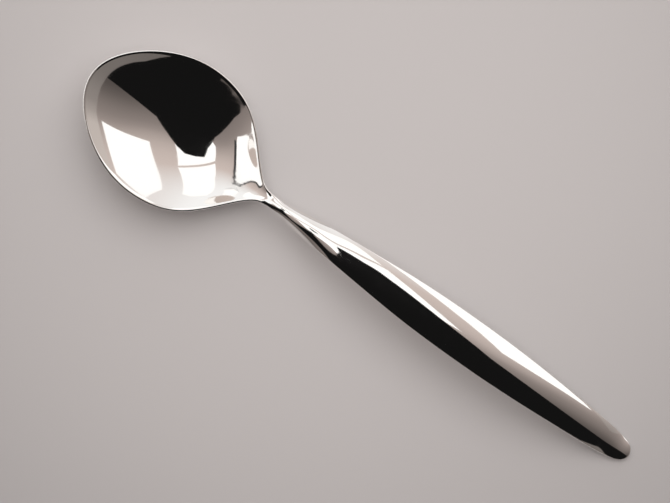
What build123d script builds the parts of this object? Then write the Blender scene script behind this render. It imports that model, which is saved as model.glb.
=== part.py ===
"""Soup spoon with a round, pointed bowl and a slim arched handle, made of a bowl with a short shank
and a solid handle, joined at the neck by a long slanted lap of silver solder."""
from build123d import *
import math
import os
import numpy as np

# Driving sizes in plan
bowl_length = 59.5  # from the bowl's tip to the narrowest place of the neck
bowl_width = 40.4
neck_width = 3.45
handle_length = 118.5  # from the neck to the end of the handle
handle_width = 12.5

# Driving sizes in height, of the line that the rim and the handle's edge follow
rim_tip_height = 14.0
neck_height = 7.1
crest_height = 12.5
end_height = 1.75

# Driving sizes of the sections
bowl_depth = 9.6
bowl_wall = 1.5
rim_edge = 1.9
neck_edge = 1.2
handle_edge = 0.9
crown_height = 2.0
neck_crown = 1.05
handle_belly = 0.8
neck_belly = 2.1
crown_softness = 2.0  # keeps the crown low where the handle is narrow
rest_flat_depth = 0.04  # worn flat under the bowl and under the handle's end

# The joint at the neck
solder_film = 0.12
lap_offset = 1.5  # from the narrowest place towards the handle
lap_angle = 30.0

lap_margin = 1.0  # spare length of each piece past the lap before it is cut

# Plan outline: stations as shares of a length, half widths as shares of a half width
bowl_station_shares = (0.0, 0.067, 0.151, 0.252, 0.37, 0.487, 0.588, 0.672, 0.756, 0.84, 0.9076, 0.952)
bowl_width_shares = (0.0, 0.47, 0.698, 0.873, 0.982, 0.997, 0.938, 0.818, 0.605, 0.331, 0.1295, 0.0513)
handle_station_shares = (
    0.038, 0.08, 0.131, 0.198, 0.274, 0.3755, 0.4937, 0.612, 0.7215, 0.8228, 0.907, 0.966, 0.987, 1.0,
)
handle_width_shares = (
    0.198, 0.388, 0.515, 0.645, 0.775, 0.921, 0.989, 0.978, 0.902, 0.795, 0.7, 0.55, 0.405, 0.0,
)

# Height line: shares of the bowl's or the handle's length, and of the fall or rise there
rim_station_shares = (0.0, 0.25, 0.5, 0.75, 0.9, 1.0)
rim_height_shares = (1.0, 0.745, 0.49, 0.235, 0.085, 0.0)
rise_station_shares = (0.06, 0.12, 0.18, 0.25, 0.33, 0.42, 0.51)
rise_height_shares = (0.034, 0.222, 0.542, 0.769, 0.879, 0.954, 0.997)
fall_station_shares = (0.6, 0.69, 0.77, 0.85, 0.92, 0.966, 1.0)
fall_height_shares = (0.991, 0.915, 0.76, 0.504, 0.212, 0.037, 0.0)

# Edge thickness and underside belly, along the spoon: the belly's shares lead from the bowl's plain
# underside to the neck's full one, and from there to the handle's
edge_bowl_share = 0.75
belly_bowl_station_shares = (0.0, 0.4, 0.672, 0.756, 0.81, 0.84, 0.877, 0.931, 1.0)
belly_bowl_shares = (0.0, 0.0, 0.0, 0.0127, 0.038, 0.073, 0.165, 0.52, 1.0)
belly_handle_station_shares = (0.038, 0.08, 0.131, 0.198, 0.274, 0.3755, 0.4937, 0.75, 1.0)
belly_handle_shares = (0.69, 0.345, 0.205, 0.115, 0.055, 0.02, 0.0, 0.0, 0.0)
neck_crown_share = 0.245  # of the handle's length, where the neck's rounder crown has become the handle's

# Hollow of the bowl
tip_wall_share = 0.5  # steepens the wall at the bowl's tip
side_wall_share = 0.1  # steepens the walls at the bowl's sides
flare_share = 0.36  # opens the walls out towards the rim at the bowl's rear
rear_power_share = 0.53  # below 1 it carries the hollow further into the neck
rear_start_share = 0.17
rear_end_share = 0.76
hollow_end_start_share = 0.874
hollow_end_share = 1.06

# Places of the lofted sections: shares of the bowl's or the handle's length, closer at the two ends
bowl_section_shares = (
    0.0002, 0.002, 0.008, 0.02, 0.04, 0.07, 0.11, 0.16, 0.22, 0.29, 0.36, 0.43,
    0.5, 0.57, 0.64, 0.7, 0.75, 0.79, 0.83, 0.865, 0.9,
)
handle_section_shares = (
    0.09, 0.12, 0.15, 0.18, 0.215, 0.26, 0.32, 0.39, 0.46, 0.53, 0.6, 0.67, 0.74, 0.8, 0.85, 0.89,
    0.925, 0.955, 0.975, 0.987, 0.994, 0.9975, 0.9993, 0.9999,
)
section_point_shares = (-1.0, -0.5, 0.0, 0.5, 1.0)
lap_section_count = 5
rest_samples = 1201  # along the bowl and along the end of the handle, where the lowest points are sought
rest_rounds = 6
rest_start_share = 0.667  # of the handle's length
smallest_square_share = 1e-9

bowl_half = bowl_width / 2
handle_half = handle_width / 2
neck_half = neck_width / 2
overall_length = bowl_length + handle_length


def natural_spline(stations, values):
    """Return a smooth function through the given values, with no bend at its two ends."""
    x = np.array(stations, dtype=float)
    v = np.array(values, dtype=float)
    gaps = np.diff(x)
    slopes = np.diff(v) / gaps
    count = len(x)
    system = np.eye(count)
    right = np.zeros(count)
    for i in range(1, count - 1):
        system[i, i - 1] = gaps[i - 1]
        system[i, i] = 2 * (gaps[i - 1] + gaps[i])
        system[i, i + 1] = gaps[i]
        right[i] = 6 * (slopes[i] - slopes[i - 1])
    bends = np.linalg.solve(system, right)

    def curve(where):
        where = np.asarray(where, dtype=float)
        i = np.clip(np.searchsorted(x, where) - 1, 0, count - 2)
        inside = np.clip(where, x[0], x[-1])
        before = inside - x[i]
        after = x[i + 1] - inside
        gap = gaps[i]
        result = (bends[i] * after**3 + bends[i + 1] * before**3) / (6 * gap)
        result += (v[i] / gap - bends[i] * gap / 6) * after
        result += (v[i + 1] / gap - bends[i + 1] * gap / 6) * before
        first_slope = slopes[0] - gaps[0] * (2 * bends[0] + bends[1]) / 6
        last_slope = slopes[-1] + gaps[-1] * (bends[-2] + 2 * bends[-1]) / 6
        result += np.minimum(where - x[0], 0) * first_slope
        result += np.maximum(where - x[-1], 0) * last_slope
        return result

    return curve


def smooth_step(where, start, end):
    """Return 0 before start, 1 after end and a smooth rise between them."""
    t = np.clip((where - start) / (end - start), 0, 1)
    return t**3 * (10 - 15 * t + 6 * t**2)


def make_width_curve():
    """Return the square of the half width along the spoon, from the bowl's tip."""
    stations = [share * bowl_length for share in bowl_station_shares]
    squares = [
        (bowl_half * width) ** 2 + (neck_half * station) ** 2
        for station, width in zip(bowl_station_shares, bowl_width_shares)
    ]
    stations.append(bowl_length)
    squares.append(neck_half**2)
    for station, width in zip(handle_station_shares, handle_width_shares):
        stations.append(bowl_length + station * handle_length)
        squares.append((handle_half * width) ** 2 + (neck_half * (1 - station)) ** 2)
    return natural_spline(stations, squares)


def make_height_curve():
    """Return the height of the rim and of the handle's edge along the spoon."""
    stations = [share * bowl_length for share in rim_station_shares]
    heights = [neck_height + (rim_tip_height - neck_height) * share for share in rim_height_shares]
    for station, share in zip(rise_station_shares, rise_height_shares):
        stations.append(bowl_length + station * handle_length)
        heights.append(neck_height + (crest_height - neck_height) * share)
    for station, share in zip(fall_station_shares, fall_height_shares):
        stations.append(bowl_length + station * handle_length)
        heights.append(end_height + (crest_height - end_height) * share)
    return natural_spline(stations, heights)


def make_belly_curve():
    """Return how strongly the underside bulges along the spoon."""
    neck_factor = neck_belly * (neck_half + crown_softness) / neck_half**2
    handle_factor = handle_belly * (handle_half + crown_softness) / handle_half**2
    stations = [share * bowl_length for share in belly_bowl_station_shares]
    factors = [neck_factor * share for share in belly_bowl_shares]
    for station, share in zip(belly_handle_station_shares, belly_handle_shares):
        stations.append(bowl_length + station * handle_length)
        factors.append(handle_factor + (neck_factor - handle_factor) * share)
    return natural_spline(stations, factors)


width_square = make_width_curve()
edge_height = make_height_curve()
belly_factor = make_belly_curve()


def edge_thickness(along):
    """Return the thickness of the rim and of the handle's edge along the spoon."""
    neck_share = smooth_step(along, edge_bowl_share * bowl_length, bowl_length)
    end_share = smooth_step(along, bowl_length, overall_length)
    return rim_edge + (neck_edge - rim_edge) * neck_share + (handle_edge - neck_edge) * end_share


def half_width(along):
    """Return the half width of the outline at a distance from the bowl's tip."""
    return np.sqrt(np.maximum(width_square(along), 0))


def hollow(along, across):
    """Return the depth of the bowl's hollow below its rim."""
    square = width_square(along) / bowl_half**2
    cross = (across / bowl_half) ** 2
    rear = smooth_step(along, rear_start_share * bowl_length, rear_end_share * bowl_length)
    power = rear * (rear_power_share - 1)
    whole_square = np.maximum(square, smallest_square_share)
    strength = bowl_depth * whole_square**power
    steeper = 1 + tip_wall_share * (1 - rear) * (1 - square) + side_wall_share * cross
    flare = flare_share * rear * cross / whole_square
    return strength * (steeper - flare) * (square - cross)


def hollow_share(along):
    """Return 1 along the hollow and 0 past its end at the neck."""
    return 1 - smooth_step(along, hollow_end_start_share * bowl_length, hollow_end_share * bowl_length)


def bulge(along, across):
    """Return the shape of a crown over the section, in millimetres of half width."""
    return (width_square(along) - across**2) / (half_width(along) + crown_softness)


def crown_factor(along):
    """Return how strongly the upper surface of the neck and the handle bulges along the spoon."""
    neck_factor = neck_crown * (neck_half + crown_softness) / neck_half**2
    handle_factor = crown_height * (handle_half + crown_softness) / handle_half**2
    share = smooth_step(along, bowl_length, bowl_length + neck_crown_share * handle_length)
    return neck_factor + (handle_factor - neck_factor) * share


def top_height(along, across):
    """Return the height of the upper surface before the spoon is laid down."""
    share = hollow_share(along)
    crown = (1 - share) * crown_factor(along) * bulge(along, across)
    return edge_height(along) + crown - share * hollow(along, across)


def bottom_height(along, across):
    """Return the height of the underside before the spoon is laid down."""
    share = hollow_share(along)
    square = width_square(along) / bowl_half**2
    thinner = (rim_edge - bowl_wall) * (square - (across / bowl_half) ** 2)
    belly = belly_factor(along) * bulge(along, across)
    return edge_height(along) - edge_thickness(along) - share * (hollow(along, across) - thinner) - belly


def find_rest_line():
    """Return the height and slope of the line under the lowest points of the bowl and the handle's end."""
    slope = 0.0
    level = 0.0
    bowl_at = np.linspace(0, bowl_length, rest_samples)
    handle_at = np.linspace(bowl_length + rest_start_share * handle_length, overall_length, rest_samples)
    middle = np.zeros(rest_samples)
    for _ in range(rest_rounds):
        bowl_low = bottom_height(bowl_at, middle) - level - slope * bowl_at
        handle_low = bottom_height(handle_at, middle) - level - slope * handle_at
        i = int(np.argmin(bowl_low))
        j = int(np.argmin(handle_low))
        turn = (handle_low[j] - bowl_low[i]) / (handle_at[j] - bowl_at[i])
        level += bowl_low[i] - turn * bowl_at[i]
        slope += turn
    return level + rest_flat_depth, slope


rest_level, rest_slope = find_rest_line()


def laid_down(height, along, across):
    """Return the height above the table of a point of one of the two surfaces."""
    raised = float(height(np.array([along]), np.array([across]))[0])
    return raised - rest_level - rest_slope * along


def section(along):
    """Return the closed section across the spoon at a distance from the bowl's tip."""
    side = float(half_width(np.array([along]))[0])
    upper = [(share * side, laid_down(top_height, along, share * side)) for share in section_point_shares]
    lower = [(share * side, laid_down(bottom_height, along, share * side)) for share in section_point_shares]
    with BuildSketch(Plane.YZ.offset(along - overall_length / 2)) as outline:
        with BuildLine():
            Spline(upper)
            Line(upper[-1], lower[-1])
            Spline(lower[::-1])
            Line(lower[0], upper[0])
        make_face()
    return outline.sketch.face()


# The lap: a slanted plane through the middle of the neck, and the stretch of the spoon that it crosses
lap_at = bowl_length + lap_offset
lap_height = (laid_down(top_height, lap_at, 0.0) + laid_down(bottom_height, lap_at, 0.0)) / 2
lap_reach = neck_edge + neck_belly + neck_crown
lap_half_run = lap_reach / (2 * math.tan(math.radians(lap_angle))) + lap_margin
lap_plane = Plane(
    origin=(lap_at - overall_length / 2, 0, lap_height),
    x_dir=(0, 1, 0),
    z_dir=(math.sin(math.radians(lap_angle)), 0, math.cos(math.radians(lap_angle))),
)
bowl_lap = lap_plane.offset(-solder_film / 2)
handle_lap = lap_plane.offset(solder_film / 2)
table = Plane.XY

lap_start = lap_at - lap_half_run
lap_end = lap_at + lap_half_run
lap_stations = [float(at) for at in np.linspace(lap_start, lap_end, lap_section_count)]
bowl_stations = [share * bowl_length for share in bowl_section_shares]
bowl_stations = [at for at in bowl_stations if at < lap_stations[0] - lap_margin]
handle_stations = [bowl_length + share * handle_length for share in handle_section_shares]
handle_stations = [at for at in handle_stations if at > lap_stations[-1] + lap_margin]

# The bowl with its shank, cut off along the lower face of the lap
with BuildPart() as bowl:
    loft([section(at) for at in bowl_stations + lap_stations])
    split(bisect_by=bowl_lap, keep=Keep.BOTTOM)
    split(bisect_by=table, keep=Keep.TOP)

# The solid handle, cut off along the upper face of the lap
with BuildPart() as handle:
    loft([section(at) for at in lap_stations + handle_stations])
    split(bisect_by=handle_lap, keep=Keep.TOP)
    split(bisect_by=table, keep=Keep.TOP)

# The film of silver solder that fills the lap
with BuildPart() as solder_seam:
    loft([section(at) for at in lap_stations])
    split(bisect_by=bowl_lap, keep=Keep.TOP)
    split(bisect_by=handle_lap, keep=Keep.BOTTOM)

bowl.part.label = "bowl"
handle.part.label = "handle"
solder_seam.part.label = "solder_seam"

os.makedirs("parts", exist_ok=True)
for piece in (bowl, handle, solder_seam):
    export_step(piece.part, f"parts/{piece.part.label}.step")
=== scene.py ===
"""Polished soup spoon: its bowl, handle and soldered joint, with a plain table and soft window light."""
from __future__ import annotations

import logging
import math
from collections.abc import Iterable, Sequence
from dataclasses import dataclass
from enum import Enum
from functools import cached_property

import bpy
import numpy as np
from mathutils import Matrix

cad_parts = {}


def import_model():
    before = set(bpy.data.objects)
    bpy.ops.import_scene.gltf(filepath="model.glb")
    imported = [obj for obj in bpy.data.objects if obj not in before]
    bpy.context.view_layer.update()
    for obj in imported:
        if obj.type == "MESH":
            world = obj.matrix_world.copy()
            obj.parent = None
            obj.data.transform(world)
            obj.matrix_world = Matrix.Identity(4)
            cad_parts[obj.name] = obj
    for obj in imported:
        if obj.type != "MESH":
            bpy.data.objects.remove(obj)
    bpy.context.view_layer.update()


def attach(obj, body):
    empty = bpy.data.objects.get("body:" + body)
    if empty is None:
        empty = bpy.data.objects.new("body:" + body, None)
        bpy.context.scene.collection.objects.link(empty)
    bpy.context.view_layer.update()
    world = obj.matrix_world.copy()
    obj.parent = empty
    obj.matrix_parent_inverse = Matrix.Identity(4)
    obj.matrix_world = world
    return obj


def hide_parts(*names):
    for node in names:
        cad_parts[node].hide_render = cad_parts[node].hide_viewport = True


LOG = logging.getLogger("soup_spoon")

Socket = bpy.types.NodeSocket
Pair = tuple[float, float]
Place = tuple[float, float, float]
Colour = tuple[float, float, float]
Shares = tuple[float, ...]
Corners = tuple[tuple[float, ...], ...]

# The middle of the bowl, along the picture's right, its up and the height
BOWL_EYE: Place = (-0.0489, 0.0347, 0.005)


class Side(Enum):
    """The two broad surfaces of the spoon."""

    TOP = 1.0
    BOTTOM = -1.0


def new_object(name: str, data: bpy.types.ID) -> bpy.types.Object:
    """Add an object to the scene.

    Args:
        name: The object's name.
        data: The mesh, camera or light that it shows.

    Returns:
        The new object.
    """
    thing = bpy.data.objects.new(name, data)
    bpy.context.scene.collection.objects.link(thing)
    return thing


def new_mesh(name: str, vertices: np.ndarray, faces: list[Sequence[int]]) -> bpy.types.Mesh:
    """Make a mesh.

    Args:
        name: The mesh's name.
        vertices: Its vertices, one a row.
        faces: For each face, the numbers of its vertices.

    Returns:
        The new mesh.
    """
    mesh = bpy.data.meshes.new(name)
    mesh.from_pydata(vertices.tolist(), [], faces)
    return mesh


class SmoothCurve:
    """A smooth curve through a few stations, made of cubic pieces and straight beyond its two ends."""

    def __init__(self, stations: list[float], values: list[float]) -> None:
        """Work out the bend at every station.

        Args:
            stations: Places along the spoon, rising.
            values: The value to pass through at each place.
        """
        self.stations = np.array(stations, dtype=float)
        self.values = np.array(values, dtype=float)
        self.gaps = np.diff(self.stations)
        slopes = np.diff(self.values) / self.gaps
        count = len(self.stations)
        inner = np.arange(1, count - 1)
        system = np.eye(count)
        system[inner, inner - 1] = self.gaps[:-1]
        system[inner, inner] = 2 * (self.gaps[:-1] + self.gaps[1:])
        system[inner, inner + 1] = self.gaps[1:]
        right = np.zeros(count)
        right[1:-1] = 6 * np.diff(slopes)
        self.bends = np.linalg.solve(system, right)
        self.first_slope = slopes[0] - self.gaps[0] * self.bends[1] / 6
        self.last_slope = slopes[-1] + self.gaps[-1] * self.bends[-2] / 6

    def at(self, where: np.ndarray) -> np.ndarray:
        """Return the values of the curve.

        Between two stations the value is the sum of two cubes, weighted by the bends at the stations, and
        of a straight part that makes the curve pass through both values.

        Args:
            where: Places along the spoon.

        Returns:
            The value at each place.
        """
        left = np.clip(np.searchsorted(self.stations, where) - 1, 0, len(self.gaps) - 1)
        right = left + 1
        inside = np.clip(where, self.stations[0], self.stations[-1])
        before = inside - self.stations[left]
        after = self.stations[right] - inside
        gap = self.gaps[left]
        result = (self.bends[left] * after**3 + self.bends[right] * before**3) / (6 * gap)
        result += (self.values[left] / gap - self.bends[left] * gap / 6) * after
        result += (self.values[right] / gap - self.bends[right] * gap / 6) * before
        result += np.minimum(where - self.stations[0], 0) * self.first_slope
        result += np.maximum(where - self.stations[-1], 0) * self.last_slope
        return result

    def slope(self, where: np.ndarray, step: float = 1e-6) -> np.ndarray:
        """Return the slope of the curve at each place, from the values a step before and after it."""
        return (self.at(where + step) - self.at(where - step)) / (2 * step)


def smooth_step(where: np.ndarray, start: float, end: float) -> np.ndarray:
    """Rise from 0 to 1 along a curve of the fifth degree, which is level at both ends.

    Args:
        where: Places along the spoon.
        start: Where the rise starts.
        end: Where the rise ends.

    Returns:
        The rise at each place, between 0 and 1.
    """
    share = np.clip((where - start) / (end - start), 0, 1)
    return share**3 * (10 - 15 * share + 6 * share**2)


@dataclass(frozen=True)
class SpoonShape:
    """The outline, the heights and the sections of the spoon, in metres from the tip of its bowl."""

    bowl_length: float = 0.0595
    bowl_width: float = 0.0404
    neck_width: float = 0.00345
    handle_length: float = 0.1185
    handle_width: float = 0.0125
    rim_tip_height: float = 0.014
    neck_height: float = 0.0071
    crest_height: float = 0.0125
    end_height: float = 0.00175
    bowl_depth: float = 0.0096
    bowl_wall: float = 0.0015
    rim_edge: float = 0.0019
    neck_edge: float = 0.0012
    handle_edge: float = 0.0009
    crown_height: float = 0.002
    neck_crown: float = 0.00105
    handle_belly: float = 0.0008
    neck_belly: float = 0.0021
    crown_softness: float = 0.002
    rest_flat_depth: float = 0.00004
    rim_radius: float = 0.00036
    side_radius: float = 0.0003
    skin: float = 0.00002

    bowl_station_shares: Shares = (
        0.0, 0.067, 0.151, 0.252, 0.37, 0.487, 0.588, 0.672, 0.756, 0.84, 0.9076, 0.952,
    )
    bowl_width_shares: Shares = (
        0.0, 0.47, 0.698, 0.873, 0.982, 0.997, 0.938, 0.818, 0.605, 0.331, 0.1295, 0.0513,
    )
    handle_station_shares: Shares = (
        0.038, 0.08, 0.131, 0.198, 0.274, 0.3755, 0.4937, 0.612, 0.7215, 0.8228, 0.907, 0.966, 0.987, 1.0,
    )
    handle_width_shares: Shares = (
        0.198, 0.388, 0.515, 0.645, 0.775, 0.921, 0.989, 0.978, 0.902, 0.795, 0.7, 0.55, 0.405, 0.0,
    )
    rim_station_shares: Shares = (0.0, 0.25, 0.5, 0.75, 0.9, 1.0)
    rim_height_shares: Shares = (1.0, 0.745, 0.49, 0.235, 0.085, 0.0)
    rise_station_shares: Shares = (0.06, 0.12, 0.18, 0.25, 0.33, 0.42, 0.51)
    rise_height_shares: Shares = (0.034, 0.222, 0.542, 0.769, 0.879, 0.954, 0.997)
    fall_station_shares: Shares = (0.6, 0.69, 0.77, 0.85, 0.92, 0.966, 1.0)
    fall_height_shares: Shares = (0.991, 0.915, 0.76, 0.504, 0.212, 0.037, 0.0)
    edge_bowl_share: float = 0.75
    belly_bowl_station_shares: Shares = (0.0, 0.4, 0.672, 0.756, 0.81, 0.84, 0.877, 0.931, 1.0)
    belly_bowl_shares: Shares = (0.0, 0.0, 0.0, 0.0127, 0.038, 0.073, 0.165, 0.52, 1.0)
    belly_handle_station_shares: Shares = (0.038, 0.08, 0.131, 0.198, 0.274, 0.3755, 0.4937, 0.75, 1.0)
    belly_handle_shares: Shares = (0.69, 0.345, 0.205, 0.115, 0.055, 0.02, 0.0, 0.0, 0.0)
    neck_crown_share: float = 0.245
    tip_wall_share: float = 0.5
    side_wall_share: float = 0.1
    flare_share: float = 0.36
    rear_power_share: float = 0.53
    rear_start_share: float = 0.17
    rear_end_share: float = 0.76
    hollow_end_start_share: float = 0.874
    hollow_end_share: float = 1.06
    smallest_square_share: float = 1e-9
    rest_start_share: float = 0.667
    rest_samples: int = 1201
    rest_rounds: int = 6

    @cached_property
    def bowl_half(self) -> float:
        """Return half the width of the bowl."""
        return self.bowl_width / 2

    @cached_property
    def handle_half(self) -> float:
        """Return half the width of the handle."""
        return self.handle_width / 2

    @cached_property
    def neck_half(self) -> float:
        """Return half the width of the neck."""
        return self.neck_width / 2

    @cached_property
    def length(self) -> float:
        """Return the length of the whole spoon."""
        return self.bowl_length + self.handle_length

    def curve(self, bowl_shares: Shares, handle_shares: Shares, values: list[float]) -> SmoothCurve:
        """Return a curve through values at shares of the bowl's length and then of the handle's.

        Args:
            bowl_shares: The stations on the bowl.
            handle_shares: The stations on the handle.
            values: The value at each station.

        Returns:
            The curve along the spoon.
        """
        stations = [share * self.bowl_length for share in bowl_shares]
        stations += [self.bowl_length + share * self.handle_length for share in handle_shares]
        return SmoothCurve(stations, values)

    def middle_factor(self, height: float, half: float) -> float:
        """Return the factor that gives the bulge its height in the middle, at a half width."""
        return height * (half + self.crown_softness) / half**2

    @cached_property
    def width_square(self) -> SmoothCurve:
        """Return the square of the half width along the spoon.

        It is the square of the bowl's or the handle's half width, plus a share of the neck's.

        Returns:
            A curve whose root is the outline.
        """
        squares = [
            (self.bowl_half * width) ** 2 + (self.neck_half * station) ** 2
            for station, width in zip(self.bowl_station_shares, self.bowl_width_shares)
        ]
        squares.append(self.neck_half**2)
        squares += [
            (self.handle_half * width) ** 2 + (self.neck_half * (1 - station)) ** 2
            for station, width in zip(self.handle_station_shares, self.handle_width_shares)
        ]
        return self.curve((*self.bowl_station_shares, 1.0), self.handle_station_shares, squares)

    @cached_property
    def edge_height(self) -> SmoothCurve:
        """Return the height of the rim and of the handle's edge before the spoon is laid down.

        It falls from the bowl's tip to the neck, rises to the handle's crest and falls to its end.

        Returns:
            The height as a curve along the spoon.
        """
        rim_fall = self.rim_tip_height - self.neck_height
        rise = self.crest_height - self.neck_height
        fall = self.crest_height - self.end_height
        heights = [self.neck_height + rim_fall * share for share in self.rim_height_shares]
        heights += [self.neck_height + rise * share for share in self.rise_height_shares]
        heights += [self.end_height + fall * share for share in self.fall_height_shares]
        handle_shares = self.rise_station_shares + self.fall_station_shares
        return self.curve(self.rim_station_shares, handle_shares, heights)

    @cached_property
    def belly_factor(self) -> SmoothCurve:
        """Return how strongly the underside bulges, most of all at the round neck.

        Returns:
            The factor of the bulge as a curve along the spoon.
        """
        neck_factor = self.middle_factor(self.neck_belly, self.neck_half)
        handle_factor = self.middle_factor(self.handle_belly, self.handle_half)
        factors = [neck_factor * share for share in self.belly_bowl_shares]
        more = neck_factor - handle_factor
        factors += [handle_factor + more * share for share in self.belly_handle_shares]
        return self.curve(self.belly_bowl_station_shares, self.belly_handle_station_shares, factors)

    def half_width(self, along: np.ndarray) -> np.ndarray:
        """Return the half width of the outline, the root of the square of the half width."""
        return np.sqrt(np.maximum(self.width_square.at(along), 0))

    def edge_thickness(self, along: np.ndarray) -> np.ndarray:
        """Return the thickness of the edge, from the rim's to the neck's and on to the handle's.

        Args:
            along: Distances from the bowl's tip.

        Returns:
            The thickness at each distance.
        """
        neck_share = smooth_step(along, self.edge_bowl_share * self.bowl_length, self.bowl_length)
        end_share = smooth_step(along, self.bowl_length, self.length)
        rim_to_neck = (self.neck_edge - self.rim_edge) * neck_share
        return self.rim_edge + rim_to_neck + (self.handle_edge - self.neck_edge) * end_share

    def hollow(self, along: np.ndarray, across: np.ndarray) -> np.ndarray:
        """Return the depth of the bowl's hollow below its rim.

        The depth is the square of the half width less the square of the distance from the middle. It is
        raised towards the neck by a power of the width, and made steeper at the tip and at the sides. Towards
        the neck the walls open out near the rim.

        Args:
            along: Distances from the bowl's tip.
            across: Distances from the middle line.

        Returns:
            The depth at each place, nothing at the rim.
        """
        square = self.width_square.at(along) / self.bowl_half**2
        cross = (across / self.bowl_half) ** 2
        rear_start = self.rear_start_share * self.bowl_length
        rear = smooth_step(along, rear_start, self.rear_end_share * self.bowl_length)
        power = rear * (self.rear_power_share - 1)
        whole_square = np.maximum(square, self.smallest_square_share)
        strength = self.bowl_depth * whole_square**power
        steeper = 1 + self.tip_wall_share * (1 - rear) * (1 - square) + self.side_wall_share * cross
        flare = self.flare_share * rear * cross / whole_square
        return strength * (steeper - flare) * (square - cross)

    def hollow_share(self, along: np.ndarray) -> np.ndarray:
        """Return 1 along the hollow and 0 past its end at the neck."""
        start = self.hollow_end_start_share * self.bowl_length
        return 1 - smooth_step(along, start, self.hollow_end_share * self.bowl_length)

    def bulge(self, along: np.ndarray, across: np.ndarray) -> np.ndarray:
        """Return the bulge's shape: a parabola across, over the half width plus the crown's softness."""
        room = self.half_width(along) + self.crown_softness
        return (self.width_square.at(along) - across**2) / room

    def crown_factor(self, along: np.ndarray) -> np.ndarray:
        """Return how strongly the upper surface bulges, from the round neck to the flatter handle.

        Args:
            along: Distances from the bowl's tip.

        Returns:
            The factor of the bulge at each distance.
        """
        neck_factor = self.middle_factor(self.neck_crown, self.neck_half)
        handle_factor = self.middle_factor(self.crown_height, self.handle_half)
        end = self.bowl_length + self.neck_crown_share * self.handle_length
        return neck_factor + (handle_factor - neck_factor) * smooth_step(along, self.bowl_length, end)

    def raised_top(self, along: np.ndarray, across: np.ndarray) -> np.ndarray:
        """Return the upper surface before the spoon is laid down: edge, plus crown, less hollow.

        Args:
            along: Distances from the bowl's tip.
            across: Distances from the middle line.

        Returns:
            The height at each place.
        """
        share = self.hollow_share(along)
        crown = (1 - share) * self.crown_factor(along) * self.bulge(along, across)
        return self.edge_height.at(along) + crown - share * self.hollow(along, across)

    def raised_bottom(self, along: np.ndarray, across: np.ndarray) -> np.ndarray:
        """Return the underside before the spoon is laid down: edge, less its thickness, hollow and belly.

        Args:
            along: Distances from the bowl's tip.
            across: Distances from the middle line.

        Returns:
            The height at each place.
        """
        share = self.hollow_share(along)
        square = self.width_square.at(along) / self.bowl_half**2
        thinner = (self.rim_edge - self.bowl_wall) * (square - (across / self.bowl_half) ** 2)
        belly = self.belly_factor.at(along) * self.bulge(along, across)
        edge = self.edge_height.at(along) - self.edge_thickness(along)
        return edge - share * (self.hollow(along, across) - thinner) - belly

    @cached_property
    def rest_line(self) -> tuple[float, float]:
        """Return the line that the spoon rests on, under the bowl and the handle's end.

        Each round moves the line to the lowest point of both, as seen from the line before.

        Returns:
            The line's level at the bowl's tip and its slope.
        """
        level = 0.0
        slope = 0.0
        end_start = self.bowl_length + self.rest_start_share * self.handle_length
        bowl_at = np.linspace(0, self.bowl_length, self.rest_samples)
        handle_at = np.linspace(end_start, self.length, self.rest_samples)
        middle = np.zeros(self.rest_samples)
        for _ in range(self.rest_rounds):
            bowl_low = self.raised_bottom(bowl_at, middle) - level - slope * bowl_at
            handle_low = self.raised_bottom(handle_at, middle) - level - slope * handle_at
            bowl_point = int(np.argmin(bowl_low))
            handle_point = int(np.argmin(handle_low))
            run = handle_at[handle_point] - bowl_at[bowl_point]
            turn = (handle_low[handle_point] - bowl_low[bowl_point]) / run
            level += bowl_low[bowl_point] - turn * bowl_at[bowl_point]
            slope += turn
        return level + self.rest_flat_depth, slope

    def height(self, side: np.ndarray, along: np.ndarray, across: np.ndarray) -> np.ndarray:
        """Return the height over the table of the upper or the lower surface.

        Args:
            side: 1 for the upper surface and -1 for the underside, at each place.
            along: Distances from the bowl's tip.
            across: Distances from the middle line.

        Returns:
            The height at each place, with the two worn flats at nothing.
        """
        level, slope = self.rest_line
        top = self.raised_top(along, across)
        bottom = self.raised_bottom(along, across)
        return np.where(side > 0, top, bottom) - level - slope * along


@dataclass(frozen=True)
class Lap:
    """The slanted joint at the neck: a film of solder between two planes."""

    shape: SpoonShape
    film: float = 0.00012
    offset: float = 0.0015
    angle: float = math.radians(30.0)

    @cached_property
    def along(self) -> float:
        """Return the distance of the joint's middle from the bowl's tip."""
        return self.shape.bowl_length + self.offset

    @cached_property
    def centre_height(self) -> float:
        """Return the height of the joint's middle, half way through the neck."""
        sides = np.array([Side.TOP.value, Side.BOTTOM.value])
        return float(np.mean(self.shape.height(sides, np.full(2, self.along), np.zeros(2))))

    def distance(self, points: np.ndarray) -> np.ndarray:
        """Return how far points lie above the joint's middle plane.

        Args:
            points: Points whose origin is the middle of the spoon on the table.

        Returns:
            The distance of each point, measured square to the plane.
        """
        run = points[..., 0] - (self.along - self.shape.length / 2)
        rise = points[..., 2] - self.centre_height
        return run * math.sin(self.angle) + rise * math.cos(self.angle)


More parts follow.
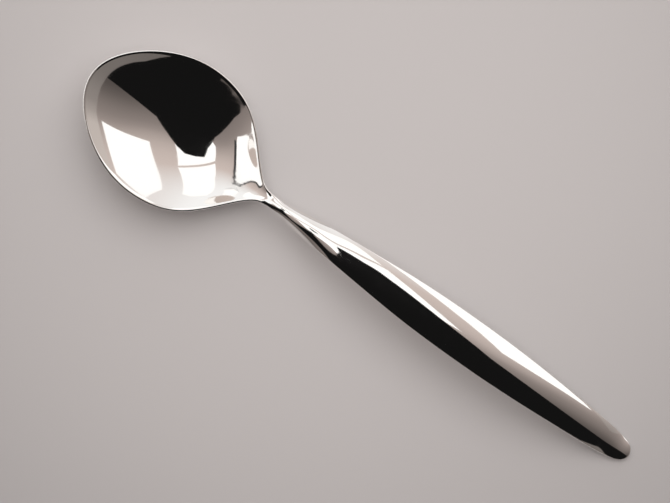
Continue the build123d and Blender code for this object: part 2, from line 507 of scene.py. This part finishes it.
@dataclass(frozen=True)
class Skin:
    """The closed surface of the spoon as a function of the distance along it and the place round it."""

    shape: SpoonShape
    rings: int = 34
    arc_steps: int = 6
    slope_step: float = 2e-6
    radius_rounds: int = 3

    @cached_property
    def half_columns(self) -> tuple[np.ndarray, np.ndarray, np.ndarray]:
        """Return the columns of one hand, from the middle of the top round to the middle of the bottom.

        Returns:
            The side, the ring share and the arc share of each column.
        """
        ring = np.linspace(0, 1, self.rings + 1)
        arc = np.linspace(0, 1, self.arc_steps + 1)[1:]
        rings = np.concatenate([ring, np.ones(self.arc_steps)])
        arcs = np.concatenate([np.zeros(self.rings + 1), arc])
        sides = np.full(len(rings), Side.TOP.value)
        return (
            np.concatenate([sides, -sides]),
            np.concatenate([rings, rings[::-1]]),
            np.concatenate([arcs, arcs[::-1]]),
        )

    @cached_property
    def columns(self) -> tuple[np.ndarray, np.ndarray, np.ndarray, np.ndarray]:
        """Return all columns, once round the spoon.

        Returns:
            The hand, the side, the ring share and the arc share of each column.
        """
        hand = np.ones(len(self.half_columns[0]))
        back = slice(-2, 0, -1)
        side, ring, arc = (np.concatenate([part, part[back]]) for part in self.half_columns)
        return np.concatenate([hand, -hand[back]]), side, ring, arc

    def points(self, along: np.ndarray) -> np.ndarray:
        """Return points of the skin.

        Each column follows the outline at its station. From there it goes square to the outline towards
        the middle line. Next to the outline an arc leaves the broad surface without a kink and ends upright
        at the outline. The rings divide the rest of the way evenly.

        Args:
            along: Stations, one row of columns after another.

        Returns:
            The points, with the origin at the middle of the spoon on the table.
        """
        hand, side, ring, arc = (np.broadcast_to(part, along.shape) for part in self.columns)
        square = self.shape.width_square.at(along)
        lean = self.shape.width_square.slope(along) / 2
        half = np.sqrt(np.maximum(square, 0))
        reach = np.sqrt(lean**2 + half**2)

        def place(inset: np.ndarray) -> tuple[np.ndarray, np.ndarray, np.ndarray]:
            """Return the place at a distance in from the outline.

            Args:
                inset: The distance, square to the outline.

            Returns:
                Its place along, its place across and its height.
            """
            here = along + inset * lean / reach
            across = half * (1 - inset / reach)
            return here, across, self.shape.height(side, here, across)

        def slope_at(inset: np.ndarray) -> np.ndarray:
            """Return how steeply the surface leaves the outline.

            Args:
                inset: The distance in from the outline.

            Returns:
                The slope there.
            """
            outer = place(inset - self.slope_step)[2]
            inner = place(inset + self.slope_step)[2]
            return side * (inner - outer) / (2 * self.slope_step)

        radius = np.where(side > 0, self.shape.rim_radius, self.shape.side_radius)
        inset = radius.copy()
        for _ in range(self.radius_rounds):
            slope = slope_at(inset)
            tilt = 1 - slope / np.sqrt(1 + slope**2)
            inset = self.shape.skin + radius * tilt
        slope = slope_at(inset)
        steep = np.sqrt(1 + slope**2)
        radius = (inset - self.shape.skin) / (1 - slope / steep)
        seat = place(inset)[2]
        start = np.arctan2(1, -slope)
        angle = start + (math.pi - start) * arc
        arc_inset = self.shape.skin + radius * (1 + np.cos(angle))
        arc_height = seat + side * radius * (np.sin(angle) - 1 / steep)
        on_arc = arc > 0
        ring_inset = inset + (reach - inset) * (1 - ring)
        here, across, height = place(np.where(on_arc, arc_inset, ring_inset))
        height = np.where(on_arc, arc_height, height)
        return np.stack([here - self.shape.length / 2, hand * across, np.maximum(height, 0)], axis=-1)

    def cut(self, lap: Lap, distance: float, rounds: int = 40, gain: float = 1.6) -> np.ndarray:
        """Return the station at which each column meets a plane of the joint.

        Args:
            lap: The joint.
            distance: Height of the plane over the joint's middle plane, square to it.
            rounds: Steps of the search.
            gain: How far a step goes for each metre that is missing.

        Returns:
            One station for each column.
        """
        along = np.full(len(self.columns[0]), lap.along)
        for _ in range(rounds):
            missing = distance - lap.distance(self.points(along))
            along = along + gain * missing
        return along


class Rise(Enum):
    """The way of a value from one level to another."""

    STRAIGHT = "LINEAR"
    SMOOTH = "SMOOTHSTEP"


class NodeNet:
    """The shader nodes of one material or of the world."""

    def __init__(self, owner: bpy.types.Material | bpy.types.World) -> None:
        """Start with no nodes.

        Args:
            owner: The material or world that the nodes belong to.
        """
        owner.use_nodes = True
        self.tree = owner.node_tree
        self.tree.nodes.clear()
        self.output = "OutputWorld" if isinstance(owner, bpy.types.World) else "OutputMaterial"

    def add(self, kind: str, inputs: dict[str | int, object] | None = None, **choices: str) -> bpy.types.Node:
        """Add a node.

        Args:
            kind: The node's type, without the word that all shader types begin with.
            inputs: By the input's name or place, the value that it gets or the output that leads to it.
            choices: The node's own choices, such as its operation, which are made first.

        Returns:
            The new node.
        """
        node = self.tree.nodes.new(f"ShaderNode{kind}")
        for name, choice in choices.items():
            setattr(node, name, choice)
        for name, value in (inputs or {}).items():
            if isinstance(value, Socket):
                self.tree.links.new(value, node.inputs[name])
            else:
                node.inputs[name].default_value = value
        return node

    def show(self, kind: str, inputs: dict[str | int, object]) -> None:
        """Add the shader that the whole material or world shows, with what its inputs get."""
        shader = self.add(kind, inputs)
        self.add(self.output, {"Surface": shader.outputs[0]})

    def spread(
        self, value: Socket, ends: Pair, levels: Pair = (0.0, 1.0), rise: Rise = Rise.STRAIGHT
    ) -> Socket:
        """Lead a value from one range to another, held at both ends.

        Args:
            value: The value to change.
            ends: Where the value starts and ends.
            levels: What the two ends become.
            rise: The way from one level to the other.

        Returns:
            The changed value.
        """
        before = {"Value": value, "From Min": ends[0], "From Max": ends[1]}
        after = {"To Min": levels[0], "To Max": levels[1]}
        return self.add("MapRange", before | after, interpolation_type=rise.value).outputs["Result"]


@dataclass(frozen=True)
class WornPolish:
    """Polished metal with the hairlines, small scratches and smudges of daily use."""

    name: str
    colour: Colour
    roughness: float
    hairline_roughness: float = 0.035
    hairline_scale: tuple[float, float, float] = (90.0, 5200.0, 5200.0)
    hairline_detail: float = 3.0
    hairline_ends: Pair = (0.5, 0.8)
    smudge_roughness: float = 0.03
    smudge_scale: float = 70.0
    smudge_detail: float = 4.0
    smudge_grain: float = 0.6
    smudge_ends: Pair = (0.45, 0.75)
    scratch_roughness: float = 0.035
    scratch_scale: float = 160.0
    scratch_detail: float = 1.0
    scratch_bend: float = 0.6
    scratch_level: float = 0.5
    scratch_width: float = 0.0035
    bump_strength: float = 0.05
    bump_distance: float = 0.00001

    def material(self) -> bpy.types.Material:
        """Return the material, whose nodes read the object's own coordinates.

        Hairlines, scratches and smudges all widen the gloss. The hairlines are cut into the surface too.

        Returns:
            The finished material.
        """
        material = bpy.data.materials.new(self.name)
        net = NodeNet(material)
        place = net.add("TexCoord").outputs["Object"]
        hairlines = self.hairlines(net, place)
        hairline_gloss = (self.roughness, self.roughness + self.hairline_roughness)
        lines = net.spread(hairlines, self.hairline_ends, hairline_gloss)
        gloss = net.add("Math", {0: lines, 1: self.smudges(net, place)}, operation="ADD").outputs["Value"]
        wear = {0: self.scratches(net, place), 1: self.scratch_roughness, 2: gloss}
        relief = {"Strength": self.bump_strength, "Distance": self.bump_distance, "Height": hairlines}
        surface = {
            "Base Color": (*self.colour, 1.0),
            "Metallic": 1.0,
            "Roughness": net.add("Math", wear, operation="MULTIPLY_ADD").outputs["Value"],
            "Normal": net.add("Bump", relief).outputs["Normal"],
        }
        net.show("BsdfPrincipled", surface)
        return material

    def hairlines(self, net: NodeNet, place: Socket) -> Socket:
        """Draw the hairlines, a noise drawn out along the spoon.

        Args:
            net: The material's nodes.
            place: The object's own coordinates.

        Returns:
            The height of the hairlines.
        """
        stretch = net.add("Mapping", {"Vector": place, "Scale": self.hairline_scale}).outputs["Vector"]
        grain = {"Vector": stretch, "Scale": 1.0, "Detail": self.hairline_detail}
        return net.add("TexNoise", grain).outputs["Fac"]

    def smudges(self, net: NodeNet, place: Socket) -> Socket:
        """Draw the smudges, the upper part of a slow noise.

        Args:
            net: The material's nodes.
            place: The object's own coordinates.

        Returns:
            What the smudges add to the roughness.
        """
        grain = {"Scale": self.smudge_scale, "Detail": self.smudge_detail, "Roughness": self.smudge_grain}
        noise = net.add("TexNoise", {"Vector": place, **grain}).outputs["Fac"]
        return net.spread(noise, self.smudge_ends, (0.0, self.smudge_roughness))

    def scratches(self, net: NodeNet, place: Socket) -> Socket:
        """Draw the scratches, the thin level lines of a bent noise.

        Args:
            net: The material's nodes.
            place: The object's own coordinates.

        Returns:
            1 on a scratch and 0 elsewhere.
        """
        grain = {"Scale": self.scratch_scale, "Detail": self.scratch_detail, "Distortion": self.scratch_bend}
        noise = net.add("TexNoise", {"Vector": place, **grain}).outputs["Fac"]
        line = {0: noise, 1: self.scratch_level, 2: self.scratch_width}
        return net.add("Math", line, operation="COMPARE").outputs["Value"]


POLISHED_METAL = WornPolish("polished_metal_finish", colour=(0.93, 0.915, 0.895), roughness=0.035)
SOLDER = WornPolish("solder_finish", colour=(0.92, 0.905, 0.885), roughness=0.05)


@dataclass(frozen=True)
class SkinPiece:
    """One piece of the spoon, cut out of the skin between two rows of stations.

    The two pointed_ends say whether its first and its last row lie at an end of the spoon. If not, the row
    lies at the joint.
    """

    name: str
    node: str
    slot: str
    finish: WornPolish
    skin: Skin
    lap: Lap
    rows: int = 420
    pointed_ends: tuple[bool, bool] = (False, False)

    def stations(self) -> np.ndarray:
        """Return the stations of the piece, one row after another."""
        raise NotImplementedError

    def build(self) -> None:
        """Make the mesh, dress it and report it.

        The rows of points are joined into a tube of four-sided faces. A row at an end of the spoon has its
        two hands in one place, so they share their points. A row at the joint is closed by a flat face.
        """
        grid = self.skin.points(self.stations())
        rows, count = grid.shape[:2]
        half = len(self.skin.half_columns[0])
        index = np.arange(rows * count).reshape(rows, count)
        mirror = np.arange(count)
        mirror[half:] = count - mirror[half:]
        caps = []
        cut_rows = []
        for row, is_point in zip((0, -1), self.pointed_ends):
            if is_point:
                index[row] = index[row][mirror]
            else:
                cap = self.cap(index[row], half)
                caps.append(cap if row == 0 else cap[:, ::-1])
                cut_rows.append(index[row])
        following = np.roll(index, -1, axis=1)
        corners = [index[:-1], index[1:], following[1:], following[:-1]]
        quads = np.stack(corners, axis=-1).reshape(-1, len(corners))
        faces = np.concatenate([quads, *caps])
        used, compact = np.unique(faces, return_inverse=True)
        mesh = new_mesh(self.name, grid.reshape(-1, 3)[used], compact.reshape(faces.shape).tolist())
        mesh.validate()
        self.sharpen(mesh, len(quads), [np.searchsorted(used, row) for row in cut_rows])
        mesh.materials.append(self.finish.material())
        piece = new_object(self.name, mesh)
        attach(piece, "root")
        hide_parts(self.node)
        LOG.info("%s: %d faces, in the place of %s", self.name, len(faces), self.node)

    @staticmethod
    def cap(row: np.ndarray, half: int) -> np.ndarray:
        """Return faces across a row, from each point of the upper half to the one under it.

        Args:
            row: The row's points, once round the spoon.
            half: How many columns one hand has, both middles included.

        Returns:
            Four-sided faces that look towards the bowl's tip.
        """
        ring = np.append(row, row[0])
        upper = np.arange(half // 2 - 1)
        under = half - 1 - upper
        right = np.stack([ring[upper], ring[upper + 1], ring[under - 1], ring[under]], axis=-1)
        low = half - 1 + upper
        high = len(row) - upper
        left = np.stack([ring[high], ring[low], ring[low + 1], ring[high - 1]], axis=-1)
        return np.concatenate([right, left])

    @staticmethod
    def sharpen(mesh: bpy.types.Mesh, smooth_faces: int, cut_rows: list[np.ndarray]) -> None:
        """Keep the closing faces flat, the skin smooth, and the edge between them sharp.

        Args:
            mesh: The mesh of the piece.
            smooth_faces: How many faces the skin has, before the closing ones.
            cut_rows: The vertices of each row that a closing face ends at.
        """
        mesh.polygons.foreach_set("use_smooth", np.arange(len(mesh.polygons)) < smooth_faces)
        edges = np.empty(2 * len(mesh.edges), dtype=np.int32)
        mesh.edges.foreach_get("vertices", edges)
        edges = edges.reshape(-1, 2)
        sharp = np.zeros(len(edges), dtype=bool)
        for row in cut_rows:
            sharp |= np.isin(edges, row).all(axis=1)
        mesh.edges.foreach_set("use_edge_sharp", sharp)
        mesh.update()


@dataclass(frozen=True)
class Bowl(SkinPiece):
    """The bowl with its short shank, from the spoon's tip to the joint."""

    pointed_ends: tuple[bool, bool] = (True, False)

    def stations(self) -> np.ndarray:
        """Return stations from the tip to the joint, closer near the tip as the square of the row."""
        end = self.skin.cut(self.lap, -self.lap.film / 2)
        return np.linspace(0, 1, self.rows)[:, None] ** 2 * end


@dataclass(frozen=True)
class Handle(SkinPiece):
    """The slim arched handle, from the joint to the spoon's end."""

    pointed_ends: tuple[bool, bool] = (False, True)

    def stations(self) -> np.ndarray:
        """Return stations from the joint to the end, closer near the end as the square of the row."""
        start = self.skin.cut(self.lap, self.lap.film / 2) - self.skin.shape.length
        return self.skin.shape.length + np.linspace(1, 0, self.rows)[:, None] ** 2 * start


@dataclass(frozen=True)
class SolderSeam(SkinPiece):
    """The film of solder that fills the joint, flush with both its neighbours."""

    rows: int = 3

    def stations(self) -> np.ndarray:
        """Return stations from the bowl's face of the joint to the handle's."""
        start, end = (self.skin.cut(self.lap, way * self.lap.film / 2) for way in (-1, 1))
        return start + np.linspace(0, 1, self.rows)[:, None] * (end - start)


@dataclass(frozen=True)
class View:
    """The camera straight above the spoon, turned as the photograph is."""

    turn: float = math.radians(35.4)
    place: Place = (-0.0088, -0.0011, 0.47)
    lens: float = 92.3
    sensor: float = 36.0

    @cached_property
    def axes(self) -> np.ndarray:
        """Return the picture's right, its up and the height as directions in the room."""
        sine, cosine = math.sin(self.turn), math.cos(self.turn)
        return np.array([[cosine, sine, 0.0], [-sine, cosine, 0.0], [0.0, 0.0, 1.0]])

    def build(self) -> None:
        """Set the camera."""
        data = bpy.data.cameras.new("camera")
        data.sensor_width = self.sensor
        data.lens = self.lens
        camera = new_object("camera", data)
        camera.location = self.place
        camera.rotation_euler = (0.0, 0.0, self.turn)
        bpy.context.scene.camera = camera


@dataclass(frozen=True)
class Table:
    """The plain pale table under the spoon, with painted shade: its colour is darker towards the edges of the
    picture, where the light falls off.
    """

    size: float = 6.0
    colour: Colour = (0.67, 0.65, 0.647)
    # painted shade: the colour at the edges of the picture, where the light falls off
    painted_shade_colour: Colour = (0.39, 0.381, 0.382)
    middle: Pair = (0.0, 0.055)
    reach: Pair = (0.135, 0.15)
    fall_ends: Pair = (-0.5, 2.0)
    roughness: float = 0.6
    specular_level: float = 0.2

    def build(self, view: View) -> None:
        """Lay the table.

        Args:
            view: The camera's view, which the pale middle is placed in.
        """
        half = self.size / 2
        corners = np.array([(-half, -half, 0.0), (half, -half, 0.0), (half, half, 0.0), (-half, half, 0.0)])
        mesh = new_mesh("table", corners, [range(len(corners))])
        mesh.materials.append(self.material(view))
        table = new_object("table", mesh)

    def material(self, view: View) -> bpy.types.Material:
        """Return the table's material, whose colour darkens with the square of the distance as painted shade.

        Args:
            view: The camera's view, which the pale middle is placed in.

        Returns:
            The finished material.
        """
        material = bpy.data.materials.new("table_top")
        net = NodeNet(material)
        centre = np.array([*view.place[:2], 0.0]) + np.array([*self.middle, 0.0]) @ view.axes
        ellipse = {
            "Vector": net.add("TexCoord").outputs["Object"],
            "Location": centre.tolist(),
            "Rotation": (0.0, 0.0, view.turn),
            "Scale": (*self.reach, 1.0),
        }
        away = net.add("Mapping", ellipse, vector_type="TEXTURE").outputs["Vector"]
        square = net.add("VectorMath", {0: away, 1: away}, operation="DOT_PRODUCT").outputs["Value"]
        # painted shade: the colour darkens away from the pale middle
        fall = net.spread(square, self.fall_ends, rise=Rise.SMOOTH)
        colours = {"Factor": fall, "A": (*self.colour, 1.0), "B": (*self.painted_shade_colour, 1.0)}
        surface = {
            "Base Color": net.add("Mix", colours, data_type="RGBA").outputs["Result"],
            "Roughness": self.roughness,
            "Specular IOR Level": self.specular_level,
        }
        net.show("BsdfPrincipled", surface)
        return material


@dataclass(frozen=True)
class WindowLamp:
    """A broad soft lamp on the windows' side, which the polish doesn't mirror."""

    width: float = 2.0
    depth: float = 1.8
    energy: float = 16.0
    distance: float = 1.5
    lean: float = math.radians(22)
    side: float = math.radians(60)

    def build(self, view: View) -> None:
        """Hang the lamp.

        Args:
            view: The camera's view, which the lamp's side is counted from.
        """
        light = bpy.data.lights.new("window_light", "AREA")
        light.shape = "RECTANGLE"
        light.size = self.width
        light.size_y = self.depth
        light.energy = self.energy
        lamp = new_object("window_light", light)
        away = view.turn + self.side
        beside = self.distance * math.sin(self.lean)
        above = self.distance * math.cos(self.lean)
        lamp.location = (beside * math.cos(away), beside * math.sin(away), above)
        lamp.rotation_euler = (0.0, self.lean, away)
        lamp.visible_glossy = False


@dataclass(frozen=True)
class Room:
    """The room's walls, white on the windows' side and dim on the other.

    Each step is a direction, from -1 away from the windows to 1 towards them, and the brightness there.
    """

    colour: Colour = (1.14, 0.97, 0.90)
    window_colour: Colour = (1.0, 1.0, 1.0)
    ends: Pair = (-0.7, 1.0)
    steps: tuple[Pair, ...] = (
        (-0.7, 0.08), (-0.55, 0.12), (-0.4, 0.17), (-0.2, 0.23), (-0.1, 0.28), (0.0, 0.36), (0.15, 0.45),
        (0.3, 0.51), (0.5, 0.56),
    )
    turn: float = math.radians(10)
    strength: float = 1.0

    def build(self, view: View) -> None:
        """Paint the walls by their direction.

        Args:
            view: The camera's view, which the windows' side is counted from.
        """
        world = bpy.data.worlds.new("room")
        bpy.context.scene.world = world
        net = NodeNet(world)
        side = view.turn + self.turn
        inputs = {0: net.add("TexCoord").outputs["Generated"], 1: (-math.sin(side), math.cos(side), 0.0)}
        windows = net.add("VectorMath", inputs, operation="DOT_PRODUCT").outputs["Value"]
        walls = net.add("ValToRGB", {"Fac": net.spread(windows, self.ends)})
        self.colour_steps(walls.color_ramp)
        net.show("Background", {"Color": walls.outputs["Color"], "Strength": self.strength})

    def colour_steps(self, ramp: bpy.types.ColorRamp) -> None:
        """Set the walls' colours, from the dim side to the white at the windows.

        Args:
            ramp: The ramp to fill, which already has one step at each end.
        """
        first, last = self.ends
        for place, _ in self.steps[1:]:
            ramp.elements.new((place - first) / (last - first))
        colours = [[level * part for part in self.colour] for _, level in self.steps]
        for step, colour in zip(ramp.elements, [*colours, self.window_colour]):
            step.color = (*colour, 1.0)


@dataclass(frozen=True)
class Panel:
    """A flat panel of light or dark round the table, seen by the polish and not by the camera."""

    name: str
    corners: Corners
    strength: float
    colour: Colour

    def places(self) -> np.ndarray:
        """Return the corners in metres, measured along the picture's right, its up and the height."""
        raise NotImplementedError

    def faces(self) -> list[Sequence[int]]:
        """Return one face through all corners."""
        return [range(len(self.corners))]

    def glow(self, mesh: bpy.types.Mesh, net: NodeNet) -> float | Socket:
        """Return how bright the panel is, here the same all over."""
        return self.strength

    def build(self, view: View) -> None:
        """Make the panel and hide it from the camera, from diffuse light and from shadows.

        Args:
            view: The camera's view, whose directions the corners are measured along.
        """
        mesh = new_mesh(self.name, self.places() @ view.axes, self.faces())
        material = bpy.data.materials.new(self.name)
        net = NodeNet(material)
        net.show("Emission", {"Color": (*self.colour, 1.0), "Strength": self.glow(mesh, net)})
        mesh.materials.append(material)
        panel = new_object(self.name, mesh)
        panel.visible_camera = False
        panel.visible_diffuse = False
        panel.visible_shadow = False


@dataclass(frozen=True)
class FarPanel(Panel):
    """A panel whose corners are the directions in which they are seen from the bowl."""

    distance: float = 2.2
    eye: Place = BOWL_EYE

    def places(self) -> np.ndarray:
        """Return where the directions meet the panel's plane.

        The plane is square to the mean of the directions, at the panel's distance.

        Returns:
            One corner for each direction.
        """
        ways = np.array(self.corners)
        ways /= np.linalg.norm(ways, axis=1)[:, None]
        facing = ways.mean(axis=0)
        facing /= np.linalg.norm(facing)
        return np.array(self.eye) + self.distance * ways / (ways @ facing)[:, None]


@dataclass(frozen=True)
class LowWall(Panel):
    """A low curved wall, whose upper corners are directions from the bowl, with a brightness at each."""

    levels: Shares = ()
    distance: float = 1.2
    eye: Place = BOWL_EYE

    def places(self) -> np.ndarray:
        """Return the corners of the wall, which stands upright at its distance.

        Returns:
            The upper corners, then the foot under each of them.
        """
        upper = np.array(self.corners)
        flat = np.linalg.norm(upper[:, :2], axis=1)[:, None]
        top = np.array(self.eye) + self.distance * upper / flat
        return np.concatenate([top, top * (1.0, 1.0, 0.0)])

    def faces(self) -> list[Sequence[int]]:
        """Return one four-sided face between each two neighbouring corners."""
        count = len(self.corners)
        return [(number, number + 1, number + 1 + count, number + count) for number in range(count - 1)]

    def glow(self, mesh: bpy.types.Mesh, net: NodeNet) -> Socket:
        """Store the brightness at each corner and its foot, as a share of the wall's strength.

        Args:
            mesh: The wall's mesh, upper corners first.
            net: The material's nodes.

        Returns:
            The stored brightness.
        """
        store = mesh.attributes.new("level", "FLOAT", "POINT")
        store.data.foreach_set("value", self.strength * np.tile(self.levels, 2))
        return net.add("Attribute", attribute_name="level").outputs["Fac"]


@dataclass(frozen=True)
class LevelPanel(Panel):
    """A level panel whose corners are places to the right and up in the picture."""

    height: float = 0.5
    middle: Pair = (-0.0078, 0.0042)

    def places(self) -> np.ndarray:
        """Return the corners at the panel's height."""
        places = np.array(self.corners) + np.array(self.middle)
        return np.column_stack([places, np.full(len(places), self.height)])


# The windows: directions from the bowl along the picture's right, its up and the height
LEFT_WINDOW: Corners = (
    (0.949, 0.112, 0.294), (0.504, 0.252, 0.826), (0.367, 0.854, 0.37), (0.472, 0.844, 0.256),
    (0.752, 0.646, 0.13),
)
CENTRE_WINDOW_NEAR: Corners = (
    (0.211, 0.103, 0.972), (0.291, 0.571, 0.768), (-0.342, 0.24, 0.909), (-0.472, -0.15, 0.869),
    (-0.42, -0.259, 0.87),
)
CENTRE_WINDOW_FAR: Corners = (
    (0.292, 0.605, 0.741), (0.169, 0.925, 0.341), (0.026, 0.964, 0.264), (-0.111, 0.973, 0.203),
    (-0.144, 0.954, 0.262), (-0.204, 0.753, 0.626), (-0.328, 0.31, 0.893),
)
RIGHT_WINDOW_EDGE: Corners = (
    (-0.888, -0.298, 0.351), (-0.885, -0.253, 0.391), (-0.884, -0.186, 0.429), (-0.864, -0.092, 0.495),
    (-0.821, 0.022, 0.57), (-0.745, 0.175, 0.644), (-0.636, 0.356, 0.685), (-0.501, 0.568, 0.652),
    (-0.358, 0.778, 0.516), (-0.225, 0.925, 0.306),
)
RIGHT_WINDOW_OUTSIDE: Corners = (
    (-0.168, 0.985, 0.03), (-0.985, -0.03, 0.03), (-0.966, -0.221, 0.138), (-0.951, -0.251, 0.18),
)
RIGHT_FRAME_INSIDE: Corners = (
    (-0.271, 0.889, 0.37), (-0.383, 0.732, 0.564), (-0.512, 0.528, 0.678), (-0.632, 0.327, 0.703),
    (-0.73, 0.154, 0.666), (-0.798, 0.002, 0.603), (-0.837, -0.115, 0.535), (-0.854, -0.216, 0.473),
    (-0.853, -0.289, 0.436),
)

# The low wall on the handle's side: directions of its upper edge from the bowl, and its brightness there
LOW_WALL: Corners = (
    (-0.158, -0.986, 0.058), (-0.055, -0.993, 0.104), (0.097, -0.977, 0.188), (0.221, -0.951, 0.218),
    (0.366, -0.892, 0.267), (0.509, -0.799, 0.319), (0.649, -0.67, 0.361), (0.755, -0.537, 0.377),
    (0.867, -0.34, 0.365), (0.936, -0.14, 0.324), (0.963, 0.022, 0.268), (0.958, 0.174, 0.229),
    (0.907, 0.388, 0.166), (0.846, 0.518, 0.129), (0.762, 0.642, 0.085), (0.64, 0.76, 0.06),
)
LOW_WALL_LEVELS: Shares = (
    0.15, 0.15, 0.16, 0.17, 0.18, 0.18, 0.19, 0.21, 0.25, 0.28, 0.38, 0.55, 0.57, 0.6, 0.62, 0.62,
)

# The dark side of the room: places to the right and up in the picture, at the panel's height
DARK_SIDE: Corners = (
    (0.888, -0.84), (0.107, -0.113), (0.079, 0.006), (0.066, 0.119), (0.043, 0.173), (-0.032, 0.165),
    (-0.108, 0.138), (-0.186, 0.004), (-0.351, -0.163), (-0.645, -0.346), (-1.21, -0.664), (-1.489, -0.775),
    (-1.218, -0.998), (-1.225, -1.456), (-12, -18), (2, -18), (0.9, -5),
)

# How bright the panels are, their colours, and where the frame hangs in front of its window
WINDOW_STRENGTH = 1.15
FRAME_STRENGTH = 0.05
WALL_STRENGTH = 1.0
DARK_STRENGTH = 0.007
WINDOW_COLOUR: Colour = (1.0, 0.985, 0.97)
SHADE_COLOUR: Colour = (1.0, 0.98, 0.98)
LOW_WALL_COLOUR: Colour = (1.0, 0.89, 0.83)
FRAME_DISTANCE = 2.1


@dataclass(frozen=True)
class Studio:
    """The table, the windows' light, the dark side of the room and the camera."""

    view: View = View()
    table: Table = Table()
    lamp: WindowLamp = WindowLamp()
    room: Room = Room()
    panels: tuple[Panel, ...] = (
        FarPanel("left_window", LEFT_WINDOW, WINDOW_STRENGTH, WINDOW_COLOUR),
        FarPanel("centre_window_near", CENTRE_WINDOW_NEAR, WINDOW_STRENGTH, WINDOW_COLOUR),
        FarPanel("centre_window_far", CENTRE_WINDOW_FAR, WINDOW_STRENGTH, WINDOW_COLOUR),
        FarPanel("right_window", RIGHT_WINDOW_EDGE + RIGHT_WINDOW_OUTSIDE, WINDOW_STRENGTH, WINDOW_COLOUR),
        FarPanel(
            "right_window_frame",
            RIGHT_WINDOW_EDGE[1:] + RIGHT_FRAME_INSIDE,
            FRAME_STRENGTH,
            SHADE_COLOUR,
            distance=FRAME_DISTANCE,
        ),
        LowWall("low_wall", LOW_WALL, WALL_STRENGTH, LOW_WALL_COLOUR, levels=LOW_WALL_LEVELS),
        LevelPanel("dark_side", DARK_SIDE, DARK_STRENGTH, SHADE_COLOUR),
    )

    def build(self) -> None:
        """Set the table, the panels, the lamp, the room and the camera."""
        self.table.build(self.view)
        for panel in self.panels:
            panel.build(self.view)
        self.lamp.build(self.view)
        self.room.build(self.view)
        self.view.build()
        bpy.context.scene.view_settings.view_transform = "Standard"


def main() -> None:
    """Load the frame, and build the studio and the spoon."""
    logging.basicConfig(level=logging.INFO)
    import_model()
    Studio().build()
    shape = SpoonShape()
    lap = Lap(shape)
    skin = Skin(shape)
    Bowl("polished_bowl", "bowl", "polished_metal", POLISHED_METAL, skin, lap).build()
    Handle("polished_handle", "handle", "polished_metal", POLISHED_METAL, skin, lap).build()
    SolderSeam("polished_seam", "solder_seam", "solder", SOLDER, skin, lap).build()


if __name__ == "__main__":
    main()
